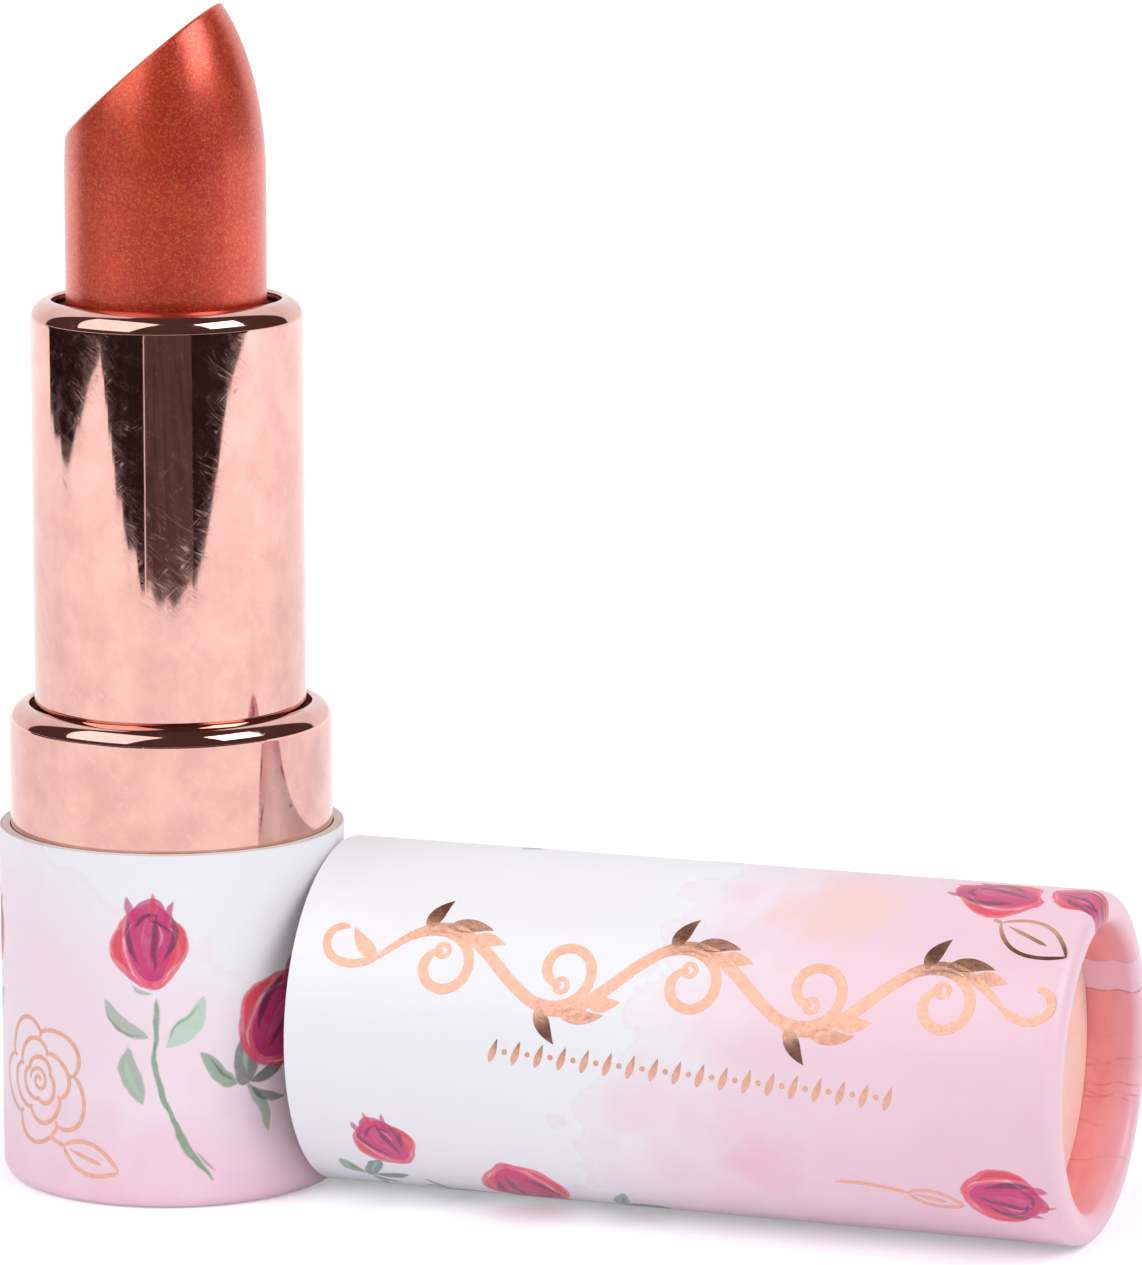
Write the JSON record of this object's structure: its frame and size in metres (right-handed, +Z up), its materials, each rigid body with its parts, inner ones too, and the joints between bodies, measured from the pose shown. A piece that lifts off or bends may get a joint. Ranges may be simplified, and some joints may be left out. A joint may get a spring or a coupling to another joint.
{
  "type": "lipstick case",
  "caption": "Twist-up lipstick in a paper-covered round case with a polished metal collar and shell, raised bullet, and its cap lying beside it.",
  "frame": {"origin": "centre of the case's foot, on the surface it stands on", "axes": "+Z up along the case's axis; +X along the lying cap's axis, away from the case; +Y behind"},
  "size_m": [0.0687, 0.0229, 0.0716],
  "materials": {
    "printed_paper": "white to pink watercolour print, satin, with rose-gold foil",
    "paperboard": "raw off-white board",
    "end_paper": "peach uncoated paper",
    "label_paper": "plain white sticker",
    "white_plastic": "moulded, matte",
    "rose_gold": "polished rose-gold anodised",
    "steel": "turned steel slug",
    "drag_rubber": "greased rubber",
    "copper_lipstick": "pearly copper-red wax, satin"
  },
  "bodies": {
    "case": {"base_wrap": "printed_paper", "base_tube": "paperboard", "base_end_paper": "end_paper", "base_card_disc": "paperboard", "shade_label": "label_paper", "inner_base": "white_plastic", "base_weight": "steel", "collar": "rose_gold", "guide_ring": "white_plastic", "slotted_sleeve": "white_plastic", "torque_ring": "drag_rubber"},
    "shell": {"shell": "rose_gold", "spiral_sleeve": "white_plastic"},
    "carrier": {"cup": "white_plastic", "bullet": "copper_lipstick"},
    "cap": {"cap_wrap": "printed_paper", "cap_tube": "paperboard", "cap_liner": "white_plastic", "cap_card_disc": "paperboard", "cap_end_paper": "end_paper"}
  },
  "joints": [
    {"name": "shell_twist", "type": "hinge", "parent": "case", "child": "shell", "pos_m": [0, 0, 0.022], "axis": [0, 0, 1], "range_deg": [0, 450]},
    {"name": "bullet_rise", "type": "slide", "parent": "case", "child": "carrier", "axis": [0, 0, 1], "range_m": [-0.02, 0]},
    {"name": "cap_pull", "type": "slide", "parent": "case", "child": "cap", "axis": [1, 0, 0], "range_m": [0, 0.04]}
  ],
  "couplings": [
    {"joint": "bullet_rise", "follows": "shell_twist", "m_per_rad": -0.0025465}
  ]
}
